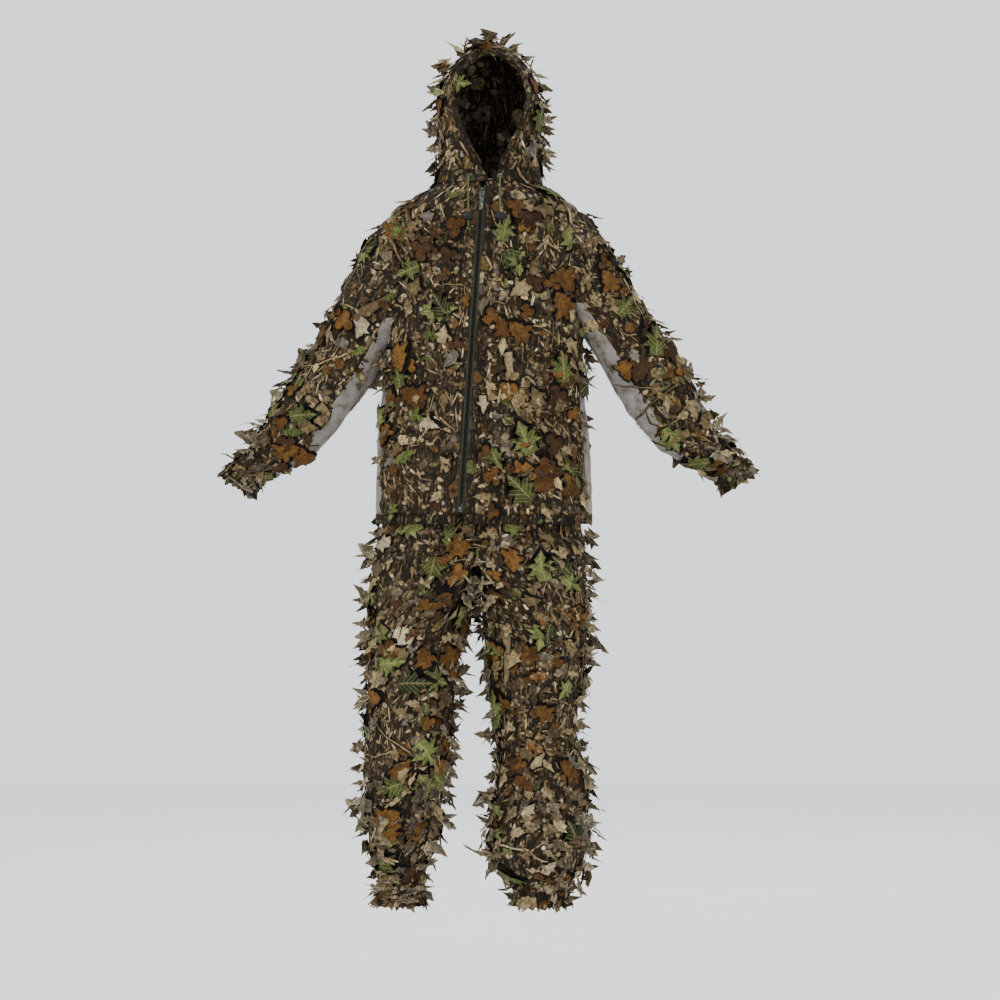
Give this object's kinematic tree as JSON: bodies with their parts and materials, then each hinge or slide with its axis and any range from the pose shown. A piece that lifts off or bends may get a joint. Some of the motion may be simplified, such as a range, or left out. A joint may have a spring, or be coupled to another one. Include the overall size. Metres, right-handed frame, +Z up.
{
  "type": "ghillie suit",
  "caption": "Leafy camouflage suit shown as worn: hooded zip jacket with cut-leaf cover and drawcord, over loose trousers with elastic waist and ankles.",
  "frame": {"origin": "base of the neck, in the middle of the neck opening, where the wearer's shoulders hold the suit up", "axes": "+Z up, the front and its zip face -Y, the wearer's left sleeve is at +X"},
  "size_m": [1.0236, 0.2571, 1.6538],
  "materials": {
    "leafy_cloth": "printed woodland cloth with cut leaf flaps, matt",
    "sheer_mesh": "thin see-through printed mesh, matt",
    "elastic": "woven elastic, matt",
    "cord": "braided cord, matt",
    "black_plastic": "moulded, satin",
    "zip_tape": "woven tape with nylon coil, satin",
    "dark_metal": "dark painted, satin"
  },
  "bodies": {
    "jacket": {"front_right": "leafy_cloth", "front_left": "leafy_cloth", "back_panel": "leafy_cloth", "side_panel_right": "sheer_mesh", "side_panel_left": "sheer_mesh", "collar": "leafy_cloth", "sleeve_right": "leafy_cloth", "sleeve_left": "leafy_cloth", "sleeve_under_right": "sheer_mesh", "sleeve_under_left": "sheer_mesh", "wrist_right_cuff": "leafy_cloth", "wrist_left_cuff": "leafy_cloth", "wrist_right_elastic": "elastic", "wrist_left_elastic": "elastic", "jacket_hem": "leafy_cloth", "zip_tape_right": "zip_tape", "zip_tape_left": "zip_tape", "zip_teeth_right": "zip_tape", "zip_teeth_left": "zip_tape", "zip_top_stop_right": "dark_metal", "zip_top_stop_left": "dark_metal", "zip_box": "dark_metal", "zip_pin": "dark_metal", "eyelet_right": "dark_metal", "eyelet_left": "dark_metal", "drawcord_end_right": "cord", "drawcord_end_left": "cord", "cord_knot_right": "cord", "cord_knot_left": "cord"},
    "hood": {"hood_right": "leafy_cloth", "hood_left": "leafy_cloth", "hood_casing": "leafy_cloth", "hood_drawcord": "cord"},
    "trousers": {"leg_front_right": "leafy_cloth", "leg_front_left": "leafy_cloth", "leg_back_right": "leafy_cloth", "leg_back_left": "leafy_cloth", "ankle_right_cuff": "leafy_cloth", "ankle_left_cuff": "leafy_cloth", "ankle_right_elastic": "elastic", "ankle_left_elastic": "elastic", "waistband": "leafy_cloth", "waist_elastic": "elastic"},
    "zip_slider": {"zip_slider": "dark_metal"},
    "zip_pull": {"zip_pull": "dark_metal"},
    "lock_right": {"lock_right": "black_plastic", "lock_spring_right": "dark_metal"},
    "lock_button_right": {"lock_button_right": "black_plastic"},
    "lock_left": {"lock_left": "black_plastic", "lock_spring_left": "dark_metal"},
    "lock_button_left": {"lock_button_left": "black_plastic"}
  },
  "joints": [
    {"name": "hood_turn", "type": "hinge", "parent": "jacket", "child": "hood", "pos_m": [0.008, 0.004, 0.025], "axis": [0, 0, 1], "range_deg": [-30, 30]},
    {"name": "trousers_drop", "type": "slide", "parent": "jacket", "child": "trousers", "axis": [0, 0, 1], "range_m": [-0.3, 0]},
    {"name": "zip_slide", "type": "slide", "parent": "jacket", "child": "zip_slider", "axis": [0.0673, 0.0569, 0.9961], "range_m": [-0.58, 0]},
    {"name": "pull_flip", "type": "hinge", "parent": "zip_slider", "child": "zip_pull", "pos_m": [-0.00522, -0.10352, -0.02413], "axis": [-0.9977, 0, 0.0674], "range_deg": [0, 150]},
    {"name": "lock_slide_right", "type": "slide", "parent": "jacket", "child": "lock_right", "axis": [0, 0, 1], "range_m": [-0.009, 0.037]},
    {"name": "lock_press_right", "type": "slide", "parent": "lock_right", "child": "lock_button_right", "axis": [1, 0, 0], "range_m": [0, 0.004], "stiffness_N_per_m": 500, "springref_m": -0.003},
    {"name": "lock_slide_left", "type": "slide", "parent": "jacket", "child": "lock_left", "axis": [0, 0, 1], "range_m": [-0.009, 0.037]},
    {"name": "lock_press_left", "type": "slide", "parent": "lock_left", "child": "lock_button_left", "axis": [-1, 0, 0], "range_m": [0, 0.004], "stiffness_N_per_m": 500, "springref_m": -0.003}
  ]
}
